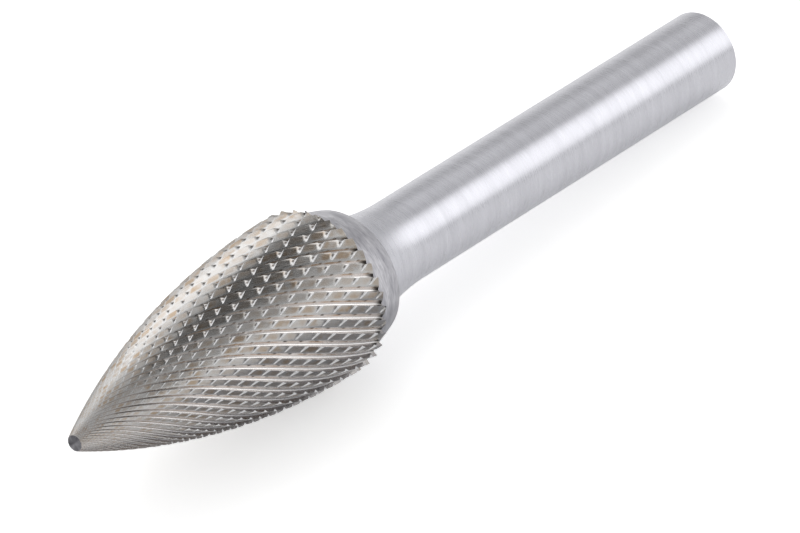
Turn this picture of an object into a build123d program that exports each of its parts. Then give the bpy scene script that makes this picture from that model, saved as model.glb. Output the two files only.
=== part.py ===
from build123d import *
import math
import os

# A double-cut carbide burr of tree form: a fluted tungsten-carbide head, brazed end to end
# to a steel shank. Each piece is built along the tool's own axis, nose first, and is then
# laid down as the tool rests on a bench: on two tooth crests and the shank's rear edge.
# Sizes are in millimetres, angles in degrees and shares in parts of one.

# Head
head_diameter = 12.0        # over the tooth crests at the widest ring
head_length = 25.0          # nose to the widest ring
nose_diameter = 1.2         # the flat at the nose
tooth_run_out = 0.5         # how far the teeth run past the widest ring
collar_length = 3.0         # plain ground band behind the teeth
collar_step = 0.05          # the band's front edge below the flute roots
collar_rear_diameter = 9.5
collar_crown = 0.03         # how far the band bulges from a straight taper

# Right-hand flutes
flute_count = 36
flute_angle = 23.5          # between a flute and the axis, along the surface
flute_depth = 0.45          # at the widest ring, and less towards the nose as the girth is
heel_share = 0.47           # of the pitch, from a crest to the break in its back slope
heel_depth_share = 0.64     # of the flute's depth, at that break
root_share = 0.92           # of the pitch, from a crest to the root of its flute

# Left-hand cross cuts, as deep as the heel
cross_count = 32
cross_angle = 21.0
cross_start = 6.0           # distance of the first cross cut from the nose
crest_share = 0.6           # of the cross pitch that keeps its full height
plain_steps = 7             # straight steps along a flute in front of the first cross cut
least_step = 0.12           # of the cross pitch, the shortest step at a flute's rear end

# Shank
total_length = 70.0
shank_diameter = 6.0
neck_front_diameter = 7.9
neck_length = 6.1
shank_chamfer = 0.5

head_radius = head_diameter / 2
nose_radius = nose_diameter / 2
shank_radius = shank_diameter / 2
tooth_end = head_length + tooth_run_out
head_end = tooth_end + collar_length
neck_end = head_end + neck_length
collar_front_radius = head_radius - flute_depth - collar_step
collar_rear_radius = collar_rear_diameter / 2

# The crests lie on a round-backed cone: an arc that is level at the widest ring.
arc_radius = (head_length**2 + (head_radius - nose_radius) ** 2) / (2 * (head_radius - nose_radius))
arc_drop = arc_radius - head_radius
arc_reach = math.sqrt(arc_radius**2 - arc_drop**2)
arc_ratio = math.sqrt((arc_radius + arc_drop) / (arc_radius - arc_drop))
flute_lead = math.tan(math.radians(flute_angle))
cross_lead = math.tan(math.radians(cross_angle))


def crest_radius(station):
    """Radius over the crests at a distance from the nose."""
    return math.sqrt(arc_radius**2 - (head_length - station) ** 2) - arc_drop


def wrap_at(station):
    """Surface length over radius, summed from a station to the widest ring.

    A line at a fixed angle to the axis turns by this sum times the tangent of its angle.
    """
    half_turn = math.asin((head_length - station) / arc_radius) / 2
    return 2 * arc_radius / arc_reach * math.atanh(arc_ratio * math.tan(half_turn))


def station_at(wrap):
    """The distance from the nose at which wrap_at gives this sum."""
    half_turn = math.atan(math.tanh(wrap * arc_reach / (2 * arc_radius)) / arc_ratio)
    return head_length - arc_radius * math.sin(2 * half_turn)


def cross_at(flute, wrap):
    """Which cross cut meets a flute at this sum, counted along the flute."""
    return cross_count * (flute / flute_count - wrap * (flute_lead + cross_lead) / math.tau)


def wrap_where(flute, cross):
    """The sum at which a flute meets a cross cut."""
    return math.tau * (flute / flute_count - cross / cross_count) / (flute_lead + cross_lead)


def tooth_point(flute, wrap, depth_share):
    """A point below the crests, by a share of the flute's depth there."""
    station = station_at(wrap)
    crest = crest_radius(station)
    radius = crest - depth_share * flute_depth * crest / head_radius
    angle = math.tau * flute / flute_count - flute_lead * wrap
    return Vector(radius * math.cos(angle), radius * math.sin(angle), station)


def flute_line(flute, share, depth_share):
    """One line along a flute from nose to rear, as (cross position, point) pairs.

    A line with no depth is a crest, which dips to the heel's depth at each cross cut: level
    first, then sloping down to the cut's steep wall.
    """
    place = flute + share
    nose, start, rear = (wrap_at(station) for station in (0.0, cross_start, tooth_end))
    rear_cross = cross_at(place, rear)
    is_crest = depth_share == 0
    line = []

    def add(wrap, depth, order=0.0):
        line.append((cross_at(place, wrap) + order, tooth_point(place, wrap, depth)))

    for step in range(plain_steps):
        add(nose + (start - nose) * step / plain_steps, depth_share)
    for cross in range(math.ceil(cross_at(place, start)), math.floor(rear_cross) + 1):
        if rear_cross - cross < least_step:
            continue
        wrap = wrap_where(place, cross)
        if is_crest:
            add(wrap, heel_depth_share, 1e-6)
            add(wrap, depth_share, 2e-6)
            if cross + crest_share < rear_cross:
                add(wrap_where(place, cross + crest_share), depth_share)
        else:
            add(wrap, depth_share)
    past_crest = rear_cross % 1 - crest_share
    if is_crest and past_crest > 0:
        add(rear, heel_depth_share * past_crest / (1 - crest_share))
    else:
        add(rear, depth_share)
    return line


def strip(left, right):
    """Three-cornered faces that fill the strip between two flute lines."""
    faces = []
    i = j = 0
    while i < len(left) - 1 or j < len(right) - 1:
        right_done = j == len(right) - 1
        if right_done or (i < len(left) - 1 and left[i + 1][0] < right[j + 1][0]):
            corners = (left[i][1], left[i + 1][1], right[j][1])
            i += 1
        else:
            corners = (left[i][1], right[j + 1][1], right[j][1])
            j += 1
        faces.append(Face(Wire.make_polygon(corners)))
    return faces


def carbide_head():
    """The toothed cone, its nose flat and the plain collar behind the teeth, as one solid."""
    lines = []
    for flute in range(flute_count):
        lines.append(flute_line(flute, 0.0, 0.0))
        lines.append(flute_line(flute, heel_share, heel_depth_share))
        lines.append(flute_line(flute, root_share, 1.0))
    closing_line = flute_line(flute_count, 0.0, 0.0)
    faces = []
    for left, right in zip(lines, lines[1:] + [closing_line]):
        faces += strip(left, right)

    nose = Face(Wire.make_polygon([line[0][1] for line in lines]))
    rear_outline = Wire.make_polygon([line[-1][1] for line in lines])
    collar_circle = Wire.make_circle(collar_front_radius, Plane((0, 0, tooth_end)))
    rear = Face(rear_outline, [collar_circle])

    middle = (collar_front_radius + collar_rear_radius) / 2 + collar_crown
    outline = Line((0, tooth_end), (collar_front_radius, tooth_end))
    outline += ThreePointArc(
        (collar_front_radius, tooth_end),
        (middle, (tooth_end + head_end) / 2),
        (collar_rear_radius, head_end),
    )
    outline += Line((collar_rear_radius, head_end), (0, head_end))
    outline += Line((0, head_end), (0, tooth_end))
    collar = revolve(make_face(Plane.XZ * outline), axis=Axis.Z)
    collar_faces = collar.faces().sort_by(Axis.Z)[1:]
    return Solid(Shell(faces + [nose, rear] + collar_faces))


def steel_shank():
    """The round shank, with the flared neck that carries the head."""
    neck_rise = neck_front_diameter / 2 - shank_radius
    neck_arc = (neck_length**2 + neck_rise**2) / (2 * neck_rise)
    half_way = math.atan2(neck_rise, neck_length)
    middle = (
        shank_radius + neck_arc * (1 - math.cos(half_way)),
        neck_end - neck_arc * math.sin(half_way),
    )
    shoulder = (shank_radius + neck_rise, head_end)
    outline = Line((0, head_end), shoulder)
    outline += ThreePointArc(shoulder, middle, (shank_radius, neck_end))
    outline += Polyline(
        (shank_radius, neck_end),
        (shank_radius, total_length - shank_chamfer),
        (shank_radius - shank_chamfer, total_length),
        (0, total_length),
        (0, head_end),
    )
    return revolve(make_face(Plane.XZ * outline), axis=Axis.Z)


def laid_down(solid):
    """The solid as it rests: two crests straddle the lowest line, and the nose points up a little."""
    crest_turn = -flute_lead * wrap_at(tooth_end)
    half_pitch = math.pi / flute_count
    roll = math.degrees(half_pitch - crest_turn)
    head_touch = crest_radius(tooth_end) * math.cos(half_pitch)
    shank_touch = total_length - shank_chamfer
    tilt = math.atan2(head_touch - shank_radius, shank_touch - tooth_end)
    lift = tooth_end * math.sin(tilt) + head_touch * math.cos(tilt)
    front = -nose_radius * math.sin(tilt)
    back = total_length * math.cos(tilt) + (shank_radius - shank_chamfer) * math.sin(tilt)
    lean = Rot(0, 90 + math.degrees(tilt), 0) * Rot(0, 0, roll)
    return Pos(-(front + back) / 2, 0, lift) * lean * solid


os.makedirs("parts", exist_ok=True)
export_step(laid_down(carbide_head()), "parts/carbide_head.step")
export_step(laid_down(steel_shank()), "parts/steel_shank.step")
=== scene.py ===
"""A tree-pointed carbide burr lying on a bench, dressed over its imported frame.

The toothed head is made by a Geometry Nodes tree that lays one small tooth tile along
the flutes and cross cuts of a round-backed cone. The plain band behind the teeth and the
steel shank are turned shapes. Lengths are in millimetres until a mesh is laid in place,
and in metres in the studio.
"""

import logging
import math
from collections.abc import Mapping, Sequence
from dataclasses import dataclass
from enum import Enum
from typing import Any, ClassVar

import bmesh
import bpy
from mathutils import Matrix, Vector


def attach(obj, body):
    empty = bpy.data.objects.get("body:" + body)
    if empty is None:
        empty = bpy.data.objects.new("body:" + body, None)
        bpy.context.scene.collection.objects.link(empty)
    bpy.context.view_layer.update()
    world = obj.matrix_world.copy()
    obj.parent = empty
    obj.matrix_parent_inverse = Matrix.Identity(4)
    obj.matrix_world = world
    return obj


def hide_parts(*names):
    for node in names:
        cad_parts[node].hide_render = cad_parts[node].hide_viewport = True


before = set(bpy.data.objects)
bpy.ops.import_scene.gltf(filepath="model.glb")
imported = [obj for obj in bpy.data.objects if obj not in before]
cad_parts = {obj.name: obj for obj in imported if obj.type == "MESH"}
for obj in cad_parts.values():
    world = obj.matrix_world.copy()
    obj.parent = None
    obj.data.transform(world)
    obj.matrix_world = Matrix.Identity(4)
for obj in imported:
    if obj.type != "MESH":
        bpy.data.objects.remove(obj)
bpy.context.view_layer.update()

MILLIMETRE: float = 0.001
TURN: float = math.tau
BODY: str = "root"
# Most of a noise texture's values lie between these two.
NOISE_LOW, NOISE_HIGH = 0.3, 0.7
# One line of a table of sums: its name, its operation and what goes into it.
Sum = tuple[str | float, ...]

log: logging.Logger = logging.getLogger("burr")


class Slot(Enum):
    """Material slots of the record, for the carbide and the steel."""

    CARBIDE = "tungsten_carbide"
    STEEL = "ground_steel"


class Node(Enum):
    """Frame solids that the pieces stand for."""

    HEAD = "carbide_head"
    SHANK = "steel_shank"


def put(tree: bpy.types.NodeTree, kind: str, feeds: Mapping[int | str, Any] | None = None,
        **settings: Any) -> bpy.types.NodeOutputs:
    """Adds a node with its settings and links.

    Args:
        tree: The node tree that gets the node.
        kind: The node's type name.
        feeds: A socket to link from, or a plain value, for each input by name or number.
        settings: The node's own properties.

    Returns:
        The outputs of the new node.
    """
    node = tree.nodes.new(kind)
    for name, value in settings.items():
        setattr(node, name, value)
    for key, value in (feeds or {}).items():
        if isinstance(value, bpy.types.NodeSocket):
            tree.links.new(value, node.inputs[key])
        else:
            node.inputs[key].default_value = value
    return node.outputs


def linear(hex_colour: str) -> tuple[float, float, float, float]:
    """Turns an sRGB hex colour into linear light.

    Args:
        hex_colour: Six hex digits after a hash sign.

    Returns:
        Red, green, blue and an alpha of one.
    """
    parts = (int(hex_colour[i:i + 2], 16) / 255 for i in (1, 3, 5))
    red, green, blue = (c / 12.92 if c <= 0.04045 else ((c + 0.055) / 1.055) ** 2.4 for c in parts)
    return red, green, blue, 1.0


@dataclass(frozen=True)
class TreeForm:
    """The round-backed cone that the tooth crests lie on, and the pitch of its two cuts."""

    head_diameter: float = 12.0
    head_length: float = 25.0
    nose_diameter: float = 1.2
    tooth_run_out: float = 0.5
    flute_count: int = 36
    flute_angle: float = 23.5
    flute_depth: float = 0.45
    cross_count: int = 32
    cross_angle: float = 21.0

    @property
    def head_radius(self) -> float:
        """Radius over the crests at the widest ring."""
        return self.head_diameter / 2

    @property
    def tooth_end(self) -> float:
        """Distance from the nose to the rear face of the teeth."""
        return self.head_length + self.tooth_run_out

    @property
    def arc_radius(self) -> float:
        """Radius of the arc that the crests follow from the nose to the widest ring."""
        rise = (self.head_diameter - self.nose_diameter) / 2
        return (self.head_length**2 + rise**2) / (2 * rise)

    @property
    def arc_drop(self) -> float:
        """How far the arc's centre lies past the axis."""
        return self.arc_radius - self.head_radius

    @property
    def arc_reach(self) -> float:
        """Half the length of the chord that the arc cuts off the axis."""
        return math.sqrt(self.arc_radius**2 - self.arc_drop**2)

    @property
    def arc_ratio(self) -> float:
        """The ratio that the surface length over radius is worked out with."""
        return math.sqrt((self.arc_radius + self.arc_drop) / (self.arc_radius - self.arc_drop))

    @property
    def flute_lead(self) -> float:
        """Turn of a flute for each unit of surface length over radius."""
        return math.tan(math.radians(self.flute_angle))

    @property
    def cross_lead(self) -> float:
        """Turn of a cross cut for each unit of surface length over radius."""
        return math.tan(math.radians(self.cross_angle))

    def crest_radius(self, station: float) -> float:
        """Radius over the crests at a distance from the nose."""
        return math.sqrt(self.arc_radius**2 - (self.head_length - station) ** 2) - self.arc_drop

    def wrap_at(self, station: float) -> float:
        """Surface length over radius, summed from a station to the widest ring."""
        half_turn = math.asin((self.head_length - station) / self.arc_radius) / 2
        return 2 * self.arc_radius / self.arc_reach * math.atanh(self.arc_ratio * math.tan(half_turn))


@dataclass(frozen=True)
class Lie:
    """How the tool lies: on two tooth crests and the rear edge of its shank."""

    NOSE_X: ClassVar[float] = -34.984

    tilt: float
    nose: tuple[float, float, float]
    roll: float

    @classmethod
    def resting(cls, form: TreeForm, shank_radius: float, shank_edge: float) -> "Lie":
        """Works out the lie from what the tool touches the bench with.

        Args:
            form: The toothed cone.
            shank_radius: Radius of the shank.
            shank_edge: Distance from the nose to the edge that the shank lies on.

        Returns:
            The lie, with two crests astride the lowest line.
        """
        half_pitch = math.pi / form.flute_count
        touch = form.crest_radius(form.tooth_end) * math.cos(half_pitch)
        tilt = math.atan2(touch - shank_radius, shank_edge - form.tooth_end)
        lift = touch * math.cos(tilt) + form.tooth_end * math.sin(tilt)
        roll = half_pitch + form.flute_lead * form.wrap_at(form.tooth_end)
        return cls(tilt=tilt, nose=(cls.NOSE_X, 0.0, lift), roll=roll)

    def matrix(self) -> Matrix:
        """Takes a point of the upright tool, nose first along +Z, to the bench in metres."""
        turned = Matrix.Rotation(math.pi / 2 + self.tilt, 4, "Y") @ Matrix.Rotation(self.roll, 4, "Z")
        return Matrix.Scale(MILLIMETRE, 4) @ Matrix.Translation(self.nose) @ turned

    def along(self) -> tuple[Vector, Vector]:
        """Gives the Mapping node's location and rotation that lay the tool's axis on +X, in metres."""
        turn = Vector((0.0, -self.tilt, 0.0))
        moved = Matrix.Rotation(-self.tilt, 3, "Y") @ Vector(self.nose) * MILLIMETRE
        return -moved, turn


class Shape:
    """Mesh making that the turned pieces and the tooth tile share."""

    @staticmethod
    def plain(name: str, points: Sequence[Sequence[float]],
              faces: Sequence[Sequence[int]]) -> bpy.types.Object:
        """Links a mesh object made from points and faces.

        Args:
            name: The object's name.
            points: Corner points.
            faces: Point numbers of each face.

        Returns:
            The new object.
        """
        mesh = bpy.data.meshes.new(name)
        mesh.from_pydata([tuple(p) for p in points], [], [tuple(f) for f in faces])
        made = bpy.data.objects.new(name, mesh)
        bpy.context.scene.collection.objects.link(made)
        return made

    @staticmethod
    def turned(name: str, profile: Sequence[tuple[float, float]], segments: int) -> bpy.types.Object:
        """Turns a profile about +Z into a closed solid with smooth sides.

        Args:
            name: The object's name.
            profile: Station and radius of each ring, from the front to the back.
            segments: Number of faces round the axis.

        Returns:
            The new object, with a pole at each end.
        """
        points: list[tuple[float, float, float]] = [(0.0, 0.0, profile[0][0])]
        for station, radius in profile:
            for i in range(segments):
                angle = TURN * i / segments
                points.append((radius * math.cos(angle), radius * math.sin(angle), station))
        points.append((0.0, 0.0, profile[-1][0]))
        faces: list[tuple[int, ...]] = []
        last = len(points) - 1
        for i in range(segments):
            after = (i + 1) % segments
            faces.append((0, 1 + after, 1 + i))
            for ring in range(len(profile) - 1):
                low = 1 + ring * segments
                high = low + segments
                faces.append((low + i, low + after, high + after, high + i))
            back = 1 + (len(profile) - 1) * segments
            faces.append((last, back + i, back + after))
        return Shape.plain(name, points, faces)

    @staticmethod
    def finish(piece: bpy.types.Object, lie: Lie, crease: float) -> None:
        """Lays a mesh in place, turns its faces outwards and shades it smooth between creases.

        Args:
            piece: The object, still upright and in millimetres.
            lie: Where the tool lies.
            crease: Angle in degrees past which an edge stays sharp.
        """
        shell = bmesh.new()
        shell.from_mesh(piece.data)
        # A corner with two edges only is a spike of no width, folded onto its neighbour.
        spikes = [corner for corner in shell.verts if len(corner.link_edges) == 2]
        bmesh.ops.dissolve_verts(shell, verts=spikes)
        bmesh.ops.recalc_face_normals(shell, faces=shell.faces)
        if shell.calc_volume(signed=True) < 0:
            bmesh.ops.reverse_faces(shell, faces=shell.faces)
        shell.transform(lie.matrix())
        for face in shell.faces:
            face.smooth = True
        shell.to_mesh(piece.data)
        shell.free()
        piece.data.set_sharp_from_angle(angle=math.radians(crease))


@dataclass(frozen=True)
class Finish:
    """A metal finish: its name, and the lie of the tool that its marks follow."""

    name: str
    lie: Lie

    def start(self) -> tuple[bpy.types.Material, bpy.types.NodeTree]:
        """Makes an empty node material of this finish's name."""
        material = bpy.data.materials.new(self.name)
        material.use_nodes = True
        material.node_tree.nodes.clear()
        return material, material.node_tree

    def axis_coordinates(self, tree: bpy.types.NodeTree,
                         stretch: tuple[float, float, float]) -> bpy.types.NodeSocket:
        """Gives object coordinates in millimetres with the tool's axis on X, times a stretch.

        Args:
            tree: The material's node tree.
            stretch: Cycles for each millimetre along X, Y and Z.

        Returns:
            The vector output.
        """
        location, rotation = self.lie.along()
        place = put(tree, "ShaderNodeTexCoord")["Object"]
        laid = put(tree, "ShaderNodeMapping",
                   {"Vector": place, "Location": location, "Rotation": rotation})["Vector"]
        scale = tuple(s / MILLIMETRE for s in stretch)
        return put(tree, "ShaderNodeVectorMath", {0: laid, 1: scale}, operation="MULTIPLY")["Vector"]


class Limit(Enum):
    """What holds a patch of colour back on the teeth.

    Mottling, the run of the cross cuts, the bare run towards the nose, or the rear end.
    """

    UNEVEN = "uneven"
    PRESENT = "present"
    BARE = "bare"
    REAR = "rear"


@dataclass(frozen=True)
class Patch:
    """A soft-edged oblong on the tooth map, and the colour that it gives the metal.

    Middle and half sizes are shares of the flute's pitch and of the cross pitch.
    """

    colour: str
    middle: tuple[float, float]
    half: tuple[float, float]
    soft: float
    limits: tuple[Limit, ...] = ()

    def mask(self, tree: bpy.types.NodeTree, across: bpy.types.NodeSocket,
             along: bpy.types.NodeSocket) -> bpy.types.NodeSocket:
        """Makes the oblong.

        Args:
            tree: The material's node tree.
            across: Share of the flute's pitch.
            along: Share of the cross pitch.

        Returns:
            One inside the oblong and zero outside it.
        """
        sides = []
        for value, centre, reach in zip((across, along), self.middle, self.half):
            off = put(tree, "ShaderNodeMath", {0: value, 1: centre}, operation="SUBTRACT")[0]
            off = put(tree, "ShaderNodeMath", {0: off}, operation="ABSOLUTE")[0]
            ends = {"Value": off, 1: reach - self.soft, 2: reach + self.soft, 3: 1.0, 4: 0.0}
            sides.append(put(tree, "ShaderNodeMapRange", ends, interpolation_type="SMOOTHSTEP")[0])
        return put(tree, "ShaderNodeMath", {0: sides[0], 1: sides[1]}, operation="MULTIPLY")[0]


@dataclass(frozen=True)
class GroundTeeth(Finish):
    """Sintered tungsten carbide with diamond-ground teeth.

    A light grey metal, faintly pink in the flutes, with fine wheel marks along them. The
    back of each tooth has a brown heat tint, the fresh walls of the cross cuts are matt
    with a painted highlight, and braze has stained the flutes' rear ends. Painted shade
    darkens the pits, the notch corners, the narrow flutes near the nose and the pockets
    where the flutes end, and a painted highlight runs along each root.
    """

    # Painted shade, for the pits, the corners of the notches and the narrow flutes near the nose.
    PAINTED_SHADE: ClassVar[str] = "#6A625D"
    # The fresh wall of each cross cut: matt, with a painted highlight that makes it near white and less
    # metallic, so it shows bright under any lamp.
    LIT_WALL: ClassVar[Patch] = Patch("#FBFBFC", (0.24, 0.955), (0.26, 0.05), 0.012, (Limit.PRESENT,))
    PATCHES: ClassVar[tuple[Patch, ...]] = (
        # The back of the tooth is a shade darker than the root, with a brown streak in its middle.
        Patch("#BDBCBB", (0.32, 0.5), (0.33, 0.7), 0.03),
        Patch("#A69583", (0.25, 0.40), (0.22, 0.34), 0.10, (Limit.UNEVEN,)),
        # Painted shade of a pit, and a brown line, where the back breaks into the flute.
        Patch(PAINTED_SHADE, (0.65, 0.42), (0.05, 0.08), 0.04, (Limit.PRESENT,)),
        Patch("#A68E78", (0.68, 0.5), (0.05, 0.7), 0.03, (Limit.UNEVEN,)),
        # Near the nose the flutes crowd together, and painted shade darkens their narrow slopes.
        Patch(PAINTED_SHADE, (0.72, 0.5), (0.11, 0.7), 0.06, (Limit.BARE,)),
        # A painted highlight along the root, just below the rake face.
        Patch("#F1EFEE", (0.91, 0.5), (0.045, 0.7), 0.02),
        # Painted shade in the corner of each notch, below the fresh wall of the cross cut.
        Patch(PAINTED_SHADE, (0.15, 0.83), (0.09, 0.05), 0.04, (Limit.PRESENT,)),
        LIT_WALL,
        # Braze stain over the last half millimetre, and where a flute ends, braze residue darkened further
        # by painted shade of its pocket.
        Patch("#A8A096", (0.5, 0.5), (1.0, 1.0), 0.1, (Limit.REAR, Limit.UNEVEN)),
        Patch("#2B2725", (0.80, 0.5), (0.14, 0.9), 0.06, (Limit.REAR,)),
    )

    body: str = "#CDC9C7"
    roughness: float = 0.22
    rougher: tuple[float, float] = (-0.06, 0.08)
    wall_roughness: float = 0.3
    wall_metal: float = 0.35
    mottle_grain: float = 1.1
    mottle_range: tuple[float, float] = (0.36, 0.6)
    mottle_floor: float = 0.1
    tone_range: tuple[float, float] = (0.35, 1.15)
    plain_end: float = 3.0
    cut_start: float = 10.0
    seam_share: float = 0.5
    stain_start: float = 24.7
    stain_end: float = 25.4
    mark_grain: tuple[float, float, float] = (24.0, 1.5, 1.0)
    mark_depth: float = 0.02
    mark_strength: float = 0.2

    def limits(self, tree: bpy.types.NodeTree,
               where: bpy.types.NodeSocket) -> dict[Limit, bpy.types.NodeSocket]:
        """Works out how strongly each limit lets a patch through.

        Args:
            tree: The material's node tree.
            where: The tooth map.

        Returns:
            A factor for each limit.
        """
        grain = (self.mottle_grain,) * 3
        mottle = put(tree, "ShaderNodeTexNoise",
                     {"Vector": self.axis_coordinates(tree, grain), "Scale": 1.0, "Detail": 4.0})[0]
        low, high = self.mottle_range
        uneven = put(tree, "ShaderNodeMapRange",
                     {"Value": mottle, 1: low, 2: high, 3: self.mottle_floor, 4: 1.0})[0]
        # Each tooth took the heat a little differently.
        tooth = put(tree, "ShaderNodeVectorMath", {0: where}, operation="FLOOR")["Vector"]
        tone = put(tree, "ShaderNodeTexWhiteNoise", {"Vector": tooth}, noise_dimensions="2D")["Value"]
        low, high = self.tone_range
        tone = put(tree, "ShaderNodeMapRange", {"Value": tone, 3: low, 4: high})[0]
        uneven = put(tree, "ShaderNodeMath", {0: uneven, 1: tone}, operation="MULTIPLY", use_clamp=True)[0]
        # The cross cuts, and what they leave, fade out towards the nose.
        place = self.axis_coordinates(tree, (1.0, 1.0, 1.0))
        station = put(tree, "ShaderNodeSeparateXYZ", {"Vector": place})["X"]
        present = put(tree, "ShaderNodeMapRange", {"Value": station, 1: self.plain_end, 2: self.cut_start},
                      interpolation_type="SMOOTHSTEP")[0]
        bare = put(tree, "ShaderNodeMapRange", {"Value": present, 3: self.seam_share, 4: 0.0})[0]
        rear = put(tree, "ShaderNodeMapRange", {"Value": station, 1: self.stain_start, 2: self.stain_end},
                   interpolation_type="SMOOTHSTEP")[0]
        return {Limit.UNEVEN: uneven, Limit.PRESENT: present, Limit.BARE: bare, Limit.REAR: rear}

    def build(self) -> bpy.types.Material:
        """Builds the material from the tooth map: flute number across, cross number along."""
        material, tree = self.start()
        where = put(tree, "ShaderNodeUVMap", uv_map="teeth")["UV"]
        parts = put(tree, "ShaderNodeSeparateXYZ", {"Vector": where})
        across = put(tree, "ShaderNodeMath", {0: parts["X"]}, operation="FRACT")[0]
        along = put(tree, "ShaderNodeMath", {0: parts["Y"]}, operation="FRACT")[0]
        limits = self.limits(tree, where)
        colour: Any = linear(self.body)
        masks = {}
        for patch in self.PATCHES:
            mask = patch.mask(tree, across, along)
            for limit in patch.limits:
                mask = put(tree, "ShaderNodeMath", {0: mask, 1: limits[limit]}, operation="MULTIPLY")[0]
            colour = put(tree, "ShaderNodeMix", {"Factor": mask, 6: colour, 7: linear(patch.colour)},
                         data_type="RGBA")[2]
            masks[patch] = mask
        # Where the wall's painted highlight lies, the metal is also less metallic and rougher.
        wall = masks[self.LIT_WALL]

        # Wheel marks run along the flute: 0.04 mm apart across it, too fine to show one by one.
        marks = put(tree, "ShaderNodeVectorMath", {0: where, 1: self.mark_grain},
                    operation="MULTIPLY")["Vector"]
        scratch = put(tree, "ShaderNodeTexNoise", {"Vector": marks, "Scale": 1.0, "Detail": 2.0})[0]
        low, high = (self.roughness + step for step in self.rougher)
        gloss = put(tree, "ShaderNodeMapRange",
                    {"Value": scratch, 1: NOISE_LOW, 2: NOISE_HIGH, 3: low, 4: high})[0]
        matt = put(tree, "ShaderNodeMath", {0: wall, 1: self.wall_roughness}, operation="MULTIPLY")[0]
        gloss = put(tree, "ShaderNodeMath", {0: gloss, 1: matt}, operation="ADD")[0]
        bump = put(tree, "ShaderNodeBump", {"Height": scratch, "Strength": self.mark_strength,
                                            "Distance": self.mark_depth * MILLIMETRE})[0]
        metal = put(tree, "ShaderNodeMapRange", {"Value": wall, 3: 1.0, 4: self.wall_metal})[0]
        shader = put(tree, "ShaderNodeBsdfPrincipled",
                     {"Base Color": colour, "Metallic": metal, "Roughness": gloss, "Normal": bump})[0]
        put(tree, "ShaderNodeOutputMaterial", {"Surface": shader})
        return material


@dataclass(frozen=True)
class GroundRound(Finish):
    """A metal ground on centres, whose wheel marks run round the tool.

    Satin, with a highlight drawn out along the axis and hair lines round it.
    """

    colour: str
    dull: str
    roughness: float
    mark_spacing: float
    depth: float
    across: float
    broad_along: float = 1 / 6
    broad_across: float = 1 / 3
    shade_range: tuple[float, float] = (0.12, 0.4)
    rougher: tuple[float, float] = (-0.05, 0.07)
    strength: float = 0.6

    def build(self) -> bpy.types.Material:
        """Builds the material from noise that is fine along the axis and slow round it."""
        material, tree = self.start()
        fine = 1 / self.mark_spacing
        grain = (fine, self.across, self.across)
        hair = put(tree, "ShaderNodeTexNoise",
                   {"Vector": self.axis_coordinates(tree, grain), "Scale": 1.0, "Detail": 4.0,
                    "Roughness": 0.6})[0]
        slow = self.across * self.broad_across
        grain = (fine * self.broad_along, slow, slow)
        broad = put(tree, "ShaderNodeTexNoise",
                    {"Vector": self.axis_coordinates(tree, grain), "Scale": 1.0, "Detail": 2.0})[0]
        both = put(tree, "ShaderNodeMath", {0: hair, 1: broad}, operation="MULTIPLY")[0]
        low, high = self.shade_range
        shade = put(tree, "ShaderNodeMapRange", {"Value": both, 1: low, 2: high})[0]
        colour = put(tree, "ShaderNodeMix", {"Factor": shade, 6: linear(self.dull), 7: linear(self.colour)},
                     data_type="RGBA")[2]
        low, high = (self.roughness + step for step in self.rougher)
        gloss = put(tree, "ShaderNodeMapRange",
                    {"Value": hair, 1: NOISE_LOW, 2: NOISE_HIGH, 3: low, 4: high})[0]
        bump = put(tree, "ShaderNodeBump", {"Height": hair, "Strength": self.strength,
                                            "Distance": self.depth * MILLIMETRE})[0]
        shader = put(tree, "ShaderNodeBsdfPrincipled",
                     {"Base Color": colour, "Metallic": 1.0, "Roughness": gloss, "Normal": bump})[0]
        put(tree, "ShaderNodeOutputMaterial", {"Surface": shader})
        return material


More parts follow.
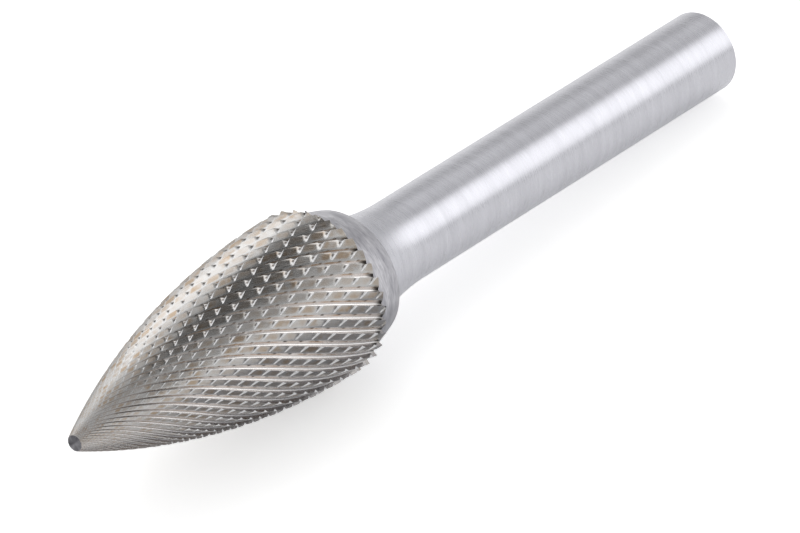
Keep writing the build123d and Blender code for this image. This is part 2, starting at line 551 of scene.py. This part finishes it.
@dataclass
class ToothedCone:
    """The double-cut head: one tooth tile laid along every flute and cross cut.

    Shares are parts of the flute's pitch, but crest_share and wall_foot are parts of the
    cross pitch, and cut_share is the cross cut's depth as a part of the relief's.
    """

    LATTICE: ClassVar[tuple[Sum, ...]] = (
        # Turn of the shared helix for one step of wrap, in cross cuts.
        ("lead", "ADD", "Flute Lead", "Cross Lead"),
        ("lead cuts", "MULTIPLY", "lead", "Cross Count"),
        ("step", "DIVIDE", "lead cuts", TURN),
        # One point for each tile, and a few to spare: along each flute in turn, from the nose.
        ("reach", "SUBTRACT", "Nose Wrap", "Rear Wrap"),
        ("reach cuts", "MULTIPLY", "reach", "step"),
        ("whole cuts", "CEIL", "reach cuts"),
        ("row", "ADD", "whole cuts", 3.0),
        ("middle", "ADD", "index", 0.5),
        ("flute part", "DIVIDE", "middle", "row"),
        ("flute", "FLOOR", "flute part"),
        ("before", "MULTIPLY", "flute", "row"),
        ("place", "SUBTRACT", "index", "before"),
        ("ratio", "DIVIDE", "Cross Count", "Flute Count"),
        ("flute cuts", "MULTIPLY", "flute", "ratio"),
        ("nose cuts", "MULTIPLY", "Nose Wrap", "step"),
        ("first part", "SUBTRACT", "flute cuts", "nose cuts"),
        ("first", "FLOOR", "first part"),
        ("cross", "ADD", "first", "place"),
        ("total", "MULTIPLY", "row", "Flute Count"),
    )
    WRAP: ClassVar[tuple[Sum, ...]] = (
        # Turn round the axis at the widest ring, and the wrap that meets this cross cut there.
        ("flute at", "ADD", "X", "Flute Phase"),
        ("turn", "DIVIDE", "flute at", "Flute Count"),
        ("cross turn", "DIVIDE", "Y", "Cross Count"),
        ("apart", "SUBTRACT", "turn", "cross turn"),
        ("apart angle", "MULTIPLY", "apart", TURN),
        ("wrap", "DIVIDE", "apart angle", "lead"),
        ("nose edge", "SUBTRACT", "Nose Wrap", "Wrap Margin"),
        ("rear edge", "ADD", "Rear Wrap", "Wrap Margin"),
    )
    SURFACE: ClassVar[tuple[Sum, ...]] = (
        # The arc at that wrap.
        ("wrap reach", "MULTIPLY", "wrap", "Arc Reach"),
        ("wrap share", "DIVIDE", "wrap reach", "Arc Radius"),
        ("half", "MULTIPLY", "wrap share", 0.5),
        ("half tanh", "TANH", "half"),
        ("half lean tan", "DIVIDE", "half tanh", "Arc Ratio"),
        ("half lean", "ARCTANGENT", "half lean tan"),
        ("lean", "MULTIPLY", "half lean", 2.0),
        ("lean sine", "SINE", "lean"),
        ("ahead", "MULTIPLY", "lean sine", "Arc Radius"),
        ("station", "SUBTRACT", "Head Length", "ahead"),
        ("lean cosine", "COSINE", "lean"),
        ("from centre", "MULTIPLY", "lean cosine", "Arc Radius"),
        ("crest line", "SUBTRACT", "from centre", "Arc Drop"),
        ("crest", "SUBTRACT", "crest line", "Crest Trim"),
        ("turn angle", "MULTIPLY", "turn", TURN),
        ("flute turn", "MULTIPLY", "wrap", "Flute Lead"),
        ("angle", "SUBTRACT", "turn angle", "flute turn"),
        ("angle cosine", "COSINE", "angle"),
        ("angle sine", "SINE", "angle"),
    )
    CUT: ClassVar[tuple[Sum, ...]] = (
        # The deeper of the flute and the cross cut, which fades out towards the nose.
        ("cross share", "MULTIPLY", "cut", "fade"),
        ("share", "MAXIMUM", "Z", "cross share"),
        ("depth", "MULTIPLY", "share", "Flute Depth"),
        ("depth part", "DIVIDE", "depth", "Head Radius"),
        ("kept part", "SUBTRACT", 1.0, "depth part"),
        ("radius", "MULTIPLY", "crest", "kept part"),
        ("x", "MULTIPLY", "radius", "angle cosine"),
        ("y", "MULTIPLY", "radius", "angle sine"),
    )

    form: TreeForm
    lie: Lie
    flute_phase: float = 0.3
    crest_trim: float = 0.013
    relief_share: float = 0.63
    relief_depth: float = 0.265
    relief_steps: int = 4
    back_angle: float = 37.0
    root_radius: float = 0.12
    rake_angle: float = 2.0
    root_steps: int = 7
    crest_share: float = 0.62
    wall_foot: float = 0.90
    cut_share: float = 0.75
    cut_steps: int = 3
    fade_start: float = 4.5
    fade_end: float = 9.0
    merge_distance: float = 0.0005
    wrap_margin: float = 0.001
    crease: float = 26.0

    def flute_section(self) -> list[tuple[float, float]]:
        """Works out one flute across its pitch, from a crest to the next.

        The relief falls gently behind the crest, the back slope drops from it into a round
        root, and the rake face stands on the root's far side.

        Returns:
            Shares of the pitch, each with its share of the flute's depth.
        """
        girth = TURN * self.form.head_radius * math.cos(math.radians(self.form.flute_angle))
        pitch = girth / self.form.flute_count
        root = self.root_radius
        slope, steep = math.radians(self.back_angle), math.radians(90 - self.rake_angle)
        centre = pitch - root * math.sin(steep) - self.form.flute_depth / math.tan(steep)
        over = centre - self.relief_share * pitch
        height = self.relief_depth + over * math.tan(slope) - root / math.cos(slope)
        parts = [i / self.relief_steps for i in range(self.relief_steps + 1)]
        section = [(part * self.relief_share * pitch, part * self.relief_depth) for part in parts]
        for i in range(self.root_steps + 1):
            turn = -slope + (slope + steep) * i / self.root_steps
            section.append((centre + root * math.sin(turn), height + root * math.cos(turn)))
        section.append((pitch, 0.0))
        return [(x / pitch, y / self.form.flute_depth) for x, y in section]

    def tooth_tile(self) -> bpy.types.Object:
        """Makes the tile of one tooth: flute share across, cross share along, depth share up.

        Returns:
            An object whose points also carry the depth share of the cross cut.
        """
        across = self.flute_section()
        deep = self.cut_share * self.relief_depth / self.form.flute_depth
        run = self.wall_foot - self.crest_share
        ramp = [i / self.cut_steps for i in range(self.cut_steps + 1)]
        along = [(0.0, 0.0), *((self.crest_share + run * part, deep * part) for part in ramp), (1.0, 0.0)]
        points = [(x, y, depth) for y, _ in along for x, depth in across]
        width = len(across)
        faces: list[tuple[int, ...]] = []
        for row in range(len(along) - 1):
            for column in range(width - 1):
                low = row * width + column
                corners = (low, low + 1, low + width + 1, low + width)
                if column < self.cut_steps and row - 1 == column:
                    # The cross cut runs out on the relief along this tile's own diagonal.
                    faces += [(corners[0], corners[1], corners[2]), (corners[0], corners[2], corners[3])]
                else:
                    faces.append(corners)
        tile = Shape.plain("tooth_tile", points, faces)
        share = tile.data.attributes.new("cross_share", "FLOAT", "POINT")
        share.data.foreach_set("value", [cut for _, cut in along for _ in across])
        return tile

    def sizes(self) -> dict[str, float]:
        """Gives the named inputs of the tree and their values."""
        form = self.form
        return {
            "Flute Count": float(form.flute_count),
            "Cross Count": float(form.cross_count),
            "Flute Lead": form.flute_lead,
            "Cross Lead": form.cross_lead,
            "Flute Phase": self.flute_phase,
            "Crest Trim": self.crest_trim,
            "Flute Depth": form.flute_depth,
            "Head Radius": form.head_radius,
            "Head Length": form.head_length,
            "Arc Radius": form.arc_radius,
            "Arc Drop": form.arc_drop,
            "Arc Reach": form.arc_reach,
            "Arc Ratio": form.arc_ratio,
            "Nose Wrap": form.wrap_at(0.0),
            "Rear Wrap": form.wrap_at(form.tooth_end),
            "Wrap Margin": self.wrap_margin,
            "Fade Start": self.fade_start,
            "Fade End": self.fade_end,
            "Merge Distance": self.merge_distance,
        }

    def tree(self) -> bpy.types.NodeTree:
        """Builds the Geometry Nodes tree of the toothed cone.

        Returns:
            The tree, with a tile object, two materials and the sizes as its inputs.
        """
        tree = bpy.data.node_groups.new("toothed_cone", "GeometryNodeTree")
        face = tree.interface
        face.new_socket("Geometry", in_out="INPUT", socket_type="NodeSocketGeometry")
        face.new_socket("Tile", in_out="INPUT", socket_type="NodeSocketObject")
        face.new_socket("Tooth Finish", in_out="INPUT", socket_type="NodeSocketMaterial")
        face.new_socket("End Finish", in_out="INPUT", socket_type="NodeSocketMaterial")
        for name in self.sizes():
            face.new_socket(name, in_out="INPUT", socket_type="NodeSocketFloat")
        face.new_socket("Geometry", in_out="OUTPUT", socket_type="NodeSocketGeometry")
        size = put(tree, "NodeGroupInput")

        known: dict[Any, Any] = {name: size[name] for name in self.sizes()}
        known["index"] = put(tree, "GeometryNodeInputIndex")[0]
        for name, operation, *feeds in self.LATTICE:
            known[name] = put(tree, "ShaderNodeMath", {i: known.get(f, f) for i, f in enumerate(feeds)},
                              operation=operation)[0]
        spot = put(tree, "ShaderNodeCombineXYZ", {"X": known["flute"], "Y": known["cross"]})[0]
        points = put(tree, "GeometryNodePoints", {"Count": known["total"], "Position": spot})[0]
        tile = put(tree, "GeometryNodeObjectInfo", {"Object": size["Tile"]})["Geometry"]
        laid = put(tree, "GeometryNodeInstanceOnPoints", {"Points": points, "Instance": tile})[0]
        shell = put(tree, "GeometryNodeRealizeInstances", {"Geometry": laid})[0]

        # The tooth map, kept for each face corner so that it has no seam.
        spot = put(tree, "GeometryNodeInputPosition")[0]
        shell = put(tree, "GeometryNodeStoreNamedAttribute",
                    {"Geometry": shell, "Name": "teeth", "Value": spot},
                    data_type="FLOAT2", domain="CORNER")[0]

        # Wrap of a point, and the tiles past either end.
        known.update(put(tree, "ShaderNodeSeparateXYZ", {"Vector": spot}).items())
        for name, operation, *feeds in self.WRAP:
            known[name] = put(tree, "ShaderNodeMath", {i: known.get(f, f) for i, f in enumerate(feeds)},
                              operation=operation)[0]
        past_nose = put(tree, "FunctionNodeCompare", {"A": known["wrap"], "B": known["nose edge"]},
                        data_type="FLOAT", operation="GREATER_EQUAL")[0]
        past_rear = put(tree, "FunctionNodeCompare", {"A": known["wrap"], "B": known["rear edge"]},
                        data_type="FLOAT", operation="LESS_EQUAL")[0]
        for past in (past_nose, past_rear):
            whole = put(tree, "GeometryNodeFieldOnDomain", {0: past}, data_type="BOOLEAN",
                        domain="POINT")[0]
            shell = put(tree, "GeometryNodeDeleteGeometry", {"Geometry": shell, "Selection": whole},
                        domain="FACE")[0]
        known["wrap"] = put(tree, "ShaderNodeClamp",
                            {0: known["wrap"], 1: size["Rear Wrap"], 2: size["Nose Wrap"]})[0]
        for name, operation, *feeds in self.SURFACE:
            known[name] = put(tree, "ShaderNodeMath", {i: known.get(f, f) for i, f in enumerate(feeds)},
                              operation=operation)[0]
        known["cut"] = put(tree, "GeometryNodeInputNamedAttribute", {"Name": "cross_share"},
                           data_type="FLOAT")[0]
        known["fade"] = put(tree, "ShaderNodeMapRange",
                            {"Value": known["station"], 1: size["Fade Start"], 2: size["Fade End"]},
                            interpolation_type="SMOOTHSTEP")[0]
        for name, operation, *feeds in self.CUT:
            known[name] = put(tree, "ShaderNodeMath", {i: known.get(f, f) for i, f in enumerate(feeds)},
                              operation=operation)[0]
        target = put(tree, "ShaderNodeCombineXYZ",
                     {"X": known["x"], "Y": known["y"], "Z": known["station"]})[0]
        shell = put(tree, "GeometryNodeSetPosition", {"Geometry": shell, "Position": target})[0]
        shell = put(tree, "GeometryNodeMergeByDistance",
                    {"Geometry": shell, "Distance": size["Merge Distance"]})[0]
        shell = put(tree, "GeometryNodeSetMaterial",
                    {"Geometry": shell, "Material": size["Tooth Finish"]})[0]

        # Both open ends close on a flat face with a point on the axis.
        count = put(tree, "GeometryNodeInputMeshEdgeNeighbors")[0]
        open_edge = put(tree, "FunctionNodeCompare", {2: count, 3: 1}, data_type="INT",
                        operation="EQUAL")[0]
        grown = put(tree, "GeometryNodeExtrudeMesh",
                    {"Mesh": shell, "Selection": open_edge, "Offset Scale": 0.0}, mode="EDGES")
        now = put(tree, "ShaderNodeSeparateXYZ", {"Vector": put(tree, "GeometryNodeInputPosition")[0]})["Z"]
        centre = put(tree, "ShaderNodeCombineXYZ", {"Z": now})[0]
        shell = put(tree, "GeometryNodeSetPosition",
                    {"Geometry": grown["Mesh"], "Selection": grown["Top"], "Position": centre})[0]
        shell = put(tree, "GeometryNodeSetMaterial",
                    {"Geometry": shell, "Selection": grown["Side"], "Material": size["End Finish"]})[0]
        shell = put(tree, "GeometryNodeMergeByDistance",
                    {"Geometry": shell, "Distance": size["Merge Distance"]})[0]
        shell = put(tree, "GeometryNodeRealizeInstances", {"Geometry": shell})[0]
        put(tree, "NodeGroupOutput", {0: shell})
        return tree

    def build(self, teeth: bpy.types.Material, ends: bpy.types.Material) -> bpy.types.Object:
        """Makes the toothed cone as one closed mesh.

        Args:
            teeth: Finish of the ground teeth.
            ends: Finish of the nose flat and the rear face.

        Returns:
            The piece, riding on the body and standing for the head's solid.
        """
        tile = self.tooth_tile()
        tree = self.tree()
        carrier = Shape.plain("toothed_cone_carrier", [(0.0, 0.0, 0.0)], [])
        modifier = carrier.modifiers.new("teeth", "NODES")
        modifier.node_group = tree
        values: dict[str, Any] = {"Tile": tile, "Tooth Finish": teeth, "End Finish": ends,
                                  **self.sizes()}
        for socket in tree.interface.items_tree:
            if socket.in_out == "INPUT" and socket.name in values:
                modifier[socket.identifier] = values[socket.name]
        graph = bpy.context.evaluated_depsgraph_get()
        mesh = bpy.data.meshes.new_from_object(carrier.evaluated_get(graph), depsgraph=graph)
        carrier.modifiers.remove(modifier)
        for spare in (carrier, tile):
            bpy.data.objects.remove(spare)
        mesh.name = "toothed_cone"
        cone = bpy.data.objects.new("toothed_cone", mesh)
        bpy.context.scene.collection.objects.link(cone)
        Shape.finish(cone, self.lie, self.crease)
        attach(cone, BODY)
        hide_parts(Node.HEAD.value)
        return cone


@dataclass
class Collar:
    """The plain ground band between the teeth and the braze."""

    form: TreeForm
    lie: Lie
    length: float = 3.0
    step: float = 0.05
    rear_diameter: float = 9.5
    crown: float = 0.03
    edge_break: float = 0.06
    rings: int = 12
    segments: int = 192
    crease: float = 30.0

    @property
    def end(self) -> float:
        """Distance from the nose to the braze."""
        return self.form.tooth_end + self.length

    def profile(self) -> list[tuple[float, float]]:
        """Gives the band's stations and radii: a slight crown, then a broken rear edge."""
        front = self.form.head_radius - self.form.flute_depth - self.step
        rear = self.rear_diameter / 2
        made = []
        for i in range(self.rings + 1):
            share = i / self.rings
            bulge = 4 * self.crown * share * (1 - share)
            made.append((self.form.tooth_end + share * (self.length - self.edge_break),
                         front + (rear - front) * share + bulge))
        return [*made, (self.end, rear - self.edge_break)]

    def build(self, finish: bpy.types.Material) -> bpy.types.Object:
        """Makes the band and dresses it.

        Args:
            finish: The band's material.

        Returns:
            The piece.
        """
        band = Shape.turned("head_band", self.profile(), self.segments)
        band.data.materials.append(finish)
        Shape.finish(band, self.lie, self.crease)
        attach(band, BODY)
        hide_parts(Node.HEAD.value)
        return band


@dataclass
class Shank:
    """The steel shank, with the hollow neck that leads up to the braze."""

    collar: Collar
    lie: Lie
    total_length: float = 70.0
    diameter: float = 6.0
    neck_diameter: float = 7.9
    neck_length: float = 6.1
    chamfer: float = 0.5
    neck_rings: int = 24
    straight_rings: int = 8
    segments: int = 192
    crease: float = 30.0

    def profile(self) -> list[tuple[float, float]]:
        """Gives the stations and radii: a hollow arc that ends level, a straight run, a chamfer."""
        radius = self.diameter / 2
        drop = self.neck_diameter / 2 - radius
        bend = (self.neck_length**2 + drop**2) / (2 * drop)
        start = self.collar.end
        level = start + self.neck_length
        made = []
        for i in range(self.neck_rings):
            station = start + self.neck_length * i / self.neck_rings
            made.append((station, radius + bend - math.sqrt(bend**2 - (level - station) ** 2)))
        back = self.total_length - self.chamfer
        for i in range(self.straight_rings + 1):
            made.append((level + (back - level) * i / self.straight_rings, radius))
        return [*made, (self.total_length, radius - self.chamfer)]

    def build(self, finish: bpy.types.Material) -> bpy.types.Object:
        """Makes the shank and dresses it.

        Args:
            finish: The shank's material.

        Returns:
            The piece.
        """
        shank = Shape.turned("shank", self.profile(), self.segments)
        shank.data.materials.append(finish)
        Shape.finish(shank, self.lie, self.crease)
        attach(shank, BODY)
        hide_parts(Node.SHANK.value)
        return shank


@dataclass(frozen=True)
class Glow:
    """A soft round patch of the studio, bright or dark, as the metal sees it.

    Its azimuth is counted from +X towards +Y and its elevation from the floor, in degrees.
    """

    azimuth: float
    elevation: float
    core: float
    edge: float
    level: float

    def way(self) -> tuple[float, float, float]:
        """Gives the direction towards the patch."""
        turn, rise = math.radians(self.azimuth), math.radians(self.elevation)
        return math.cos(turn) * math.cos(rise), math.sin(turn) * math.cos(rise), math.sin(rise)


@dataclass
class Studio:
    """Camera, pale floor, soft sky and one soft box.

    The glows are patches of the sky that the metal sees brighter or darker than the rest.
    The shade is a painted shadow: a grey patch of the floor round the head, which only reflections see.
    """

    sky_level: float = 0.68
    glows: tuple[Glow, ...] = (
        Glow(azimuth=48, elevation=6, core=10, edge=30, level=0.76),
        Glow(azimuth=55, elevation=62, core=14, edge=42, level=0.95),
        Glow(azimuth=63, elevation=38, core=10, edge=25, level=1.25),
        Glow(azimuth=38, elevation=24, core=5, edge=15, level=0.52),
        Glow(azimuth=-28, elevation=57, core=8, edge=20, level=0.16),
        Glow(azimuth=-86, elevation=14, core=8, edge=20, level=0.48),
        Glow(azimuth=-63, elevation=49, core=19, edge=29, level=0.12),
        Glow(azimuth=-34, elevation=27, core=11, edge=27, level=1.75),
    )
    azimuth: float = -52.39
    elevation: float = 33.69
    sensor: float = 36.0
    lens: float = 398.66
    clip: tuple[float, float] = (0.01, 20.0)
    station: tuple[float, float, float] = (-0.39607, -0.30483, 0.33619)
    floor_size: float = 4.0
    floor_colour: str = "#F2F2F2"
    shade_colour: str = "#BCBDC1"
    camera_lift: float = 0.52
    near_lift: float = 0.25
    far_lift: float = 0.4
    near_edge: float = 0.05
    far_edge: float = 0.35
    shade_centre: tuple[float, float, float] = (-0.014, -0.011, 0.0)
    shade_size: tuple[float, float, float] = (0.010, 0.0055, 1.0)
    shade_reach: float = 2.1
    lamp_place: tuple[float, float, float] = (0.17, 0.25, 0.53)
    lamp_size: float = 0.35
    lamp_power: float = 0.3

    def camera(self) -> None:
        """Places the camera that looks down on the tool from its nose end."""
        data = bpy.data.cameras.new("camera")
        data.sensor_fit = "HORIZONTAL"
        data.sensor_width = self.sensor
        data.lens = self.lens
        data.clip_start, data.clip_end = self.clip
        eye = bpy.data.objects.new("camera", data)
        eye.location = self.station
        eye.rotation_euler = (math.radians(90 - self.elevation), 0.0, math.radians(self.azimuth))
        bpy.context.scene.collection.objects.link(eye)
        bpy.context.scene.camera = eye

    def floor(self) -> None:
        """Lays the bench: a matt white sheet, white to the camera, that the metal sees with a painted
        shadow round the head and a glow that is weaker near the tool.
        """
        half = self.floor_size / 2
        corners = [(-half, -half, 0.0), (half, -half, 0.0), (half, half, 0.0), (-half, half, 0.0)]
        sheet = Shape.plain("floor", corners, [(0, 1, 2, 3)])
        material = bpy.data.materials.new("matt_white_sheet")
        material.use_nodes = True
        tree = material.node_tree
        tree.nodes.clear()
        seen = put(tree, "ShaderNodeLightPath")
        ray = put(tree, "ShaderNodeMath", {0: seen["Is Glossy Ray"], 1: seen["Is Transmission Ray"]},
                  operation="MAXIMUM")[0]
        spot = put(tree, "ShaderNodeNewGeometry")["Position"]
        # Reflections see the sheet glow, more weakly near the tool: painted shade round it.
        away = put(tree, "ShaderNodeVectorMath", {0: spot}, operation="LENGTH")["Value"]
        lift = put(tree, "ShaderNodeMapRange", {"Value": away, 1: self.near_edge, 2: self.far_edge,
                                                3: self.near_lift, 4: self.far_lift})[0]
        # A grey patch round the head that only reflections see: painted shadow of the head on the floor.
        from_head = put(tree, "ShaderNodeMapping",
                        {"Vector": spot, "Location": self.shade_centre, "Scale": self.shade_size},
                        vector_type="TEXTURE")[0]
        from_head = put(tree, "ShaderNodeVectorMath", {0: from_head}, operation="LENGTH")["Value"]
        shade = put(tree, "ShaderNodeMapRange",
                    {"Value": from_head, 1: 1.0, 2: self.shade_reach, 3: 1.0, 4: 0.0},
                    interpolation_type="SMOOTHSTEP")[0]
        clear = put(tree, "ShaderNodeMath", {0: 1.0, 1: shade}, operation="SUBTRACT")[0]
        lift = put(tree, "ShaderNodeMath", {0: lift, 1: clear}, operation="MULTIPLY")[0]
        shade = put(tree, "ShaderNodeMath", {0: ray, 1: shade}, operation="MULTIPLY")[0]
        colour = put(tree, "ShaderNodeMix",
                     {"Factor": shade, 6: linear(self.floor_colour), 7: linear(self.shade_colour)},
                     data_type="RGBA")[2]
        matt = put(tree, "ShaderNodeBsdfDiffuse", {"Color": colour})[0]
        lift = put(tree, "ShaderNodeMath", {0: ray, 1: lift}, operation="MULTIPLY")[0]
        camera = put(tree, "ShaderNodeMath", {0: seen["Is Camera Ray"], 1: self.camera_lift},
                     operation="MULTIPLY")[0]
        lift = put(tree, "ShaderNodeMath", {0: lift, 1: camera}, operation="ADD")[0]
        glow = put(tree, "ShaderNodeEmission", {"Color": (1.0, 1.0, 1.0, 1.0), "Strength": lift})[0]
        shader = put(tree, "ShaderNodeAddShader", {0: matt, 1: glow})[0]
        put(tree, "ShaderNodeOutputMaterial", {"Surface": shader})
        sheet.data.materials.append(material)

    def world(self) -> None:
        """Surrounds the bench with white for the camera and a soft sky for the metal."""
        world = bpy.data.worlds.new("studio")
        bpy.context.scene.world = world
        world.use_nodes = True
        tree = world.node_tree
        tree.nodes.clear()
        way = put(tree, "ShaderNodeTexCoord")["Generated"]
        level: Any = self.sky_level
        for glow in self.glows:
            near = put(tree, "ShaderNodeVectorMath", {0: way, 1: glow.way()},
                       operation="DOT_PRODUCT")["Value"]
            edge, core = (math.cos(math.radians(reach)) for reach in (glow.edge, glow.core))
            inside = put(tree, "ShaderNodeMapRange", {"Value": near, 1: edge, 2: core},
                         interpolation_type="SMOOTHSTEP")[0]
            level = put(tree, "ShaderNodeMix", {"Factor": inside, 2: level, 3: glow.level},
                        data_type="FLOAT")[0]
        seen = put(tree, "ShaderNodeLightPath")["Is Camera Ray"]
        strength = put(tree, "ShaderNodeMix", {"Factor": seen, 2: level, 3: 1.0}, data_type="FLOAT")[0]
        sky = put(tree, "ShaderNodeBackground", {"Color": (1.0, 1.0, 1.0, 1.0), "Strength": strength})[0]
        put(tree, "ShaderNodeOutputWorld", {"Surface": sky})

    def lamp(self) -> None:
        """Adds the soft box, aimed at the tool."""
        data = bpy.data.lights.new("soft_box_above", "AREA")
        data.size = self.lamp_size
        data.energy = self.lamp_power
        lamp = bpy.data.objects.new("soft_box_above", data)
        lamp.location = self.lamp_place
        lamp.rotation_euler = Vector(self.lamp_place).to_track_quat("Z", "Y").to_euler()
        bpy.context.scene.collection.objects.link(lamp)

    def build(self) -> None:
        """Sets up the whole studio."""
        bpy.context.scene.view_settings.view_transform = "Standard"
        self.camera()
        self.floor()
        self.world()
        self.lamp()


def main() -> None:
    """Builds the burr piece by piece."""
    logging.basicConfig(level=logging.INFO, format="%(name)s: %(message)s")
    form = TreeForm()
    lie = Lie.resting(form, Shank.diameter / 2, Shank.total_length - Shank.chamfer)

    Studio().build()
    teeth = GroundTeeth("ground_tungsten_carbide", lie).build()
    # Ground with a coarser wheel than the shank: grey, mottled and satin.
    satin = GroundRound("satin_tungsten_carbide", lie, colour="#D2D1D5", dull="#94939A",
                        roughness=0.32, mark_spacing=0.12, depth=0.014, across=1.6).build()
    # Centreless-ground steel: brighter, with short fine marks and a soft highlight.
    steel = GroundRound("satin_ground_steel", lie, colour="#D0D0D6", dull="#C4C4CA",
                        roughness=0.28, mark_spacing=0.09, depth=0.0035, across=0.7).build()
    # Carbide left dull by a flat lap: dark and even.
    flat = GroundRound("lapped_tungsten_carbide", lie, colour="#8A898D", dull="#4B4A4E",
                       roughness=0.45, mark_spacing=0.25, depth=0.01, across=3.0).build()

    collar = Collar(form, lie)
    cone = ToothedCone(form, lie).build(teeth, flat)
    for piece in (cone, collar.build(satin), Shank(collar, lie).build(steel)):
        log.info("%s: %d faces", piece.name, len(piece.data.polygons))


if __name__ == "__main__":
    main()
